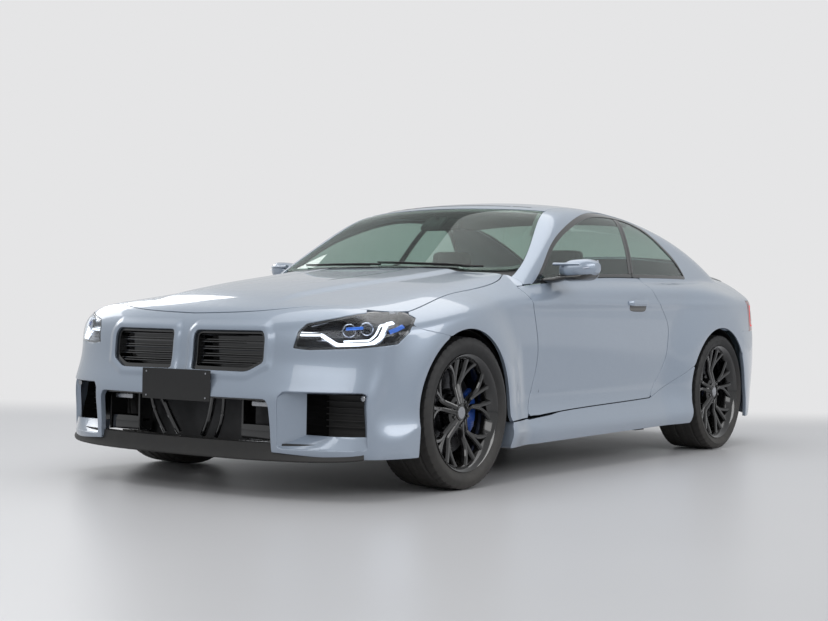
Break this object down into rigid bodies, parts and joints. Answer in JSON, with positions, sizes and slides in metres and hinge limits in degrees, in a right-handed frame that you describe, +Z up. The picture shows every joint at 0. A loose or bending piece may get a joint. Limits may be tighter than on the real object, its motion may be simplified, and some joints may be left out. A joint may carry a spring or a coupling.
{
  "type": "coupe car",
  "caption": "Two-door coupe car in light blue-grey metallic paint with black grilles, black wheels, steered front wheels, opening doors, bonnet and boot lid",
  "frame": {"origin": "middle of the ground under the car, centre of its bounding box", "axes": "+X to the car's left, +Y to its tail (the nose points along -Y), +Z up"},
  "size_m": [2.068, 4.5755, 1.4027],
  "materials": {
    "body_paint": "light blue-grey metallic, clear coated",
    "glass": "slightly green tinted",
    "tyre": "matt black rubber",
    "wheel_black": "gloss black",
    "gloss_black": "gloss black",
    "lamp_red": "clear red",
    "bright_metal": "dark brushed",
    "dark_metal": "satin black",
    "cabin_plastic": "grained black",
    "seat_leather": "black"
  },
  "bodies": {
    "shell": {"floor_pan": "dark_metal", "bulkhead": "dark_metal", "quarter_left": "body_paint", "quarter_right": "body_paint", "pillar_left": "body_paint", "pillar_right": "body_paint", "side_skirts": "body_paint", "fender_left": "body_paint", "fender_right": "body_paint", "roof_panel": "body_paint", "windscreen": "glass", "rear_window": "glass", "quarter_glass": "glass", "front_bumper": "body_paint", "front_grilles": "gloss_black", "front_splitter": "gloss_black", "headlamp_lenses": "glass", "headlamp_housings": "gloss_black", "rear_bumper": "body_paint", "diffuser": "gloss_black", "exhaust": "bright_metal", "tail_lamps": "lamp_red", "dashboard": "cabin_plastic", "front_seats": "seat_leather", "rear_seat": "seat_leather", "engine": "dark_metal", "driveline": "dark_metal", "front_subframe": "dark_metal", "rear_subframe": "dark_metal"},
    "bonnet": {"bonnet": "body_paint"},
    "door_left": {"door_left": "body_paint", "door_glass_left": "glass", "mirror_left": "body_paint"},
    "door_right": {"door_right": "body_paint", "door_glass_right": "glass", "mirror_right": "body_paint"},
    "boot_lid": {"boot_lid": "body_paint"},
    "knuckle_left": {"knuckle_left": "dark_metal"},
    "knuckle_right": {"knuckle_right": "dark_metal"},
    "road_wheel_front_left": {"tyre_front_left": "tyre", "wheel_front_left": "wheel_black"},
    "road_wheel_front_right": {"tyre_front_right": "tyre", "wheel_front_right": "wheel_black"},
    "road_wheel_rear_left": {"tyre_rear_left": "tyre", "wheel_rear_left": "wheel_black"},
    "road_wheel_rear_right": {"tyre_rear_right": "tyre", "wheel_rear_right": "wheel_black"},
    "steering_wheel": {"steering_wheel": "cabin_plastic"}
  },
  "joints": [
    {"name": "bonnet_hinge", "type": "hinge", "parent": "shell", "child": "bonnet", "pos_m": [0, -0.74517, 0.93496], "axis": [-1, 0, 0], "range_deg": [0, 45]},
    {"name": "door_left_hinge", "type": "hinge", "parent": "shell", "child": "door_left", "pos_m": [0.85802, -0.71219, 0.58], "axis": [0, 0, -1], "range_deg": [0, 62]},
    {"name": "door_right_hinge", "type": "hinge", "parent": "shell", "child": "door_right", "pos_m": [-0.85802, -0.71219, 0.58], "axis": [0, 0, 1], "range_deg": [0, 62]},
    {"name": "boot_lid_hinge", "type": "hinge", "parent": "shell", "child": "boot_lid", "pos_m": [0, 1.65017, 1.03499], "axis": [1, 0, 0], "range_deg": [0, 75]},
    {"name": "steer_left", "type": "hinge", "parent": "shell", "child": "knuckle_left", "pos_m": [0.70998, -1.424, 0.3375], "axis": [0, 0, 1], "range_deg": [-30, 30]},
    {"name": "steer_right", "type": "hinge", "parent": "shell", "child": "knuckle_right", "pos_m": [-0.70998, -1.424, 0.3375], "axis": [0, 0, 1], "range_deg": [-30, 30]},
    {"name": "spin_front_left", "type": "hinge", "parent": "knuckle_left", "child": "road_wheel_front_left", "pos_m": [0.8, -1.424, 0.3375], "axis": [1, 0, 0], "continuous": true},
    {"name": "spin_front_right", "type": "hinge", "parent": "knuckle_right", "child": "road_wheel_front_right", "pos_m": [-0.8, -1.424, 0.3375], "axis": [1, 0, 0], "continuous": true},
    {"name": "spin_rear_left", "type": "hinge", "parent": "shell", "child": "road_wheel_rear_left", "pos_m": [0.795, 1.323, 0.3395], "axis": [1, 0, 0], "continuous": true},
    {"name": "spin_rear_right", "type": "hinge", "parent": "shell", "child": "road_wheel_rear_right", "pos_m": [-0.795, 1.323, 0.3395], "axis": [1, 0, 0], "continuous": true},
    {"name": "steering_wheel_turn", "type": "hinge", "parent": "shell", "child": "steering_wheel", "pos_m": [0.37004, -0.33022, 0.815], "axis": [0, 0.9135, 0.4067], "range_deg": [-450, 450]}
  ],
  "couplings": [
    {"joint": "steer_right", "follows": "steer_left", "ratio": 1},
    {"joint": "steering_wheel_turn", "follows": "steer_left", "ratio": 15}
  ]
}
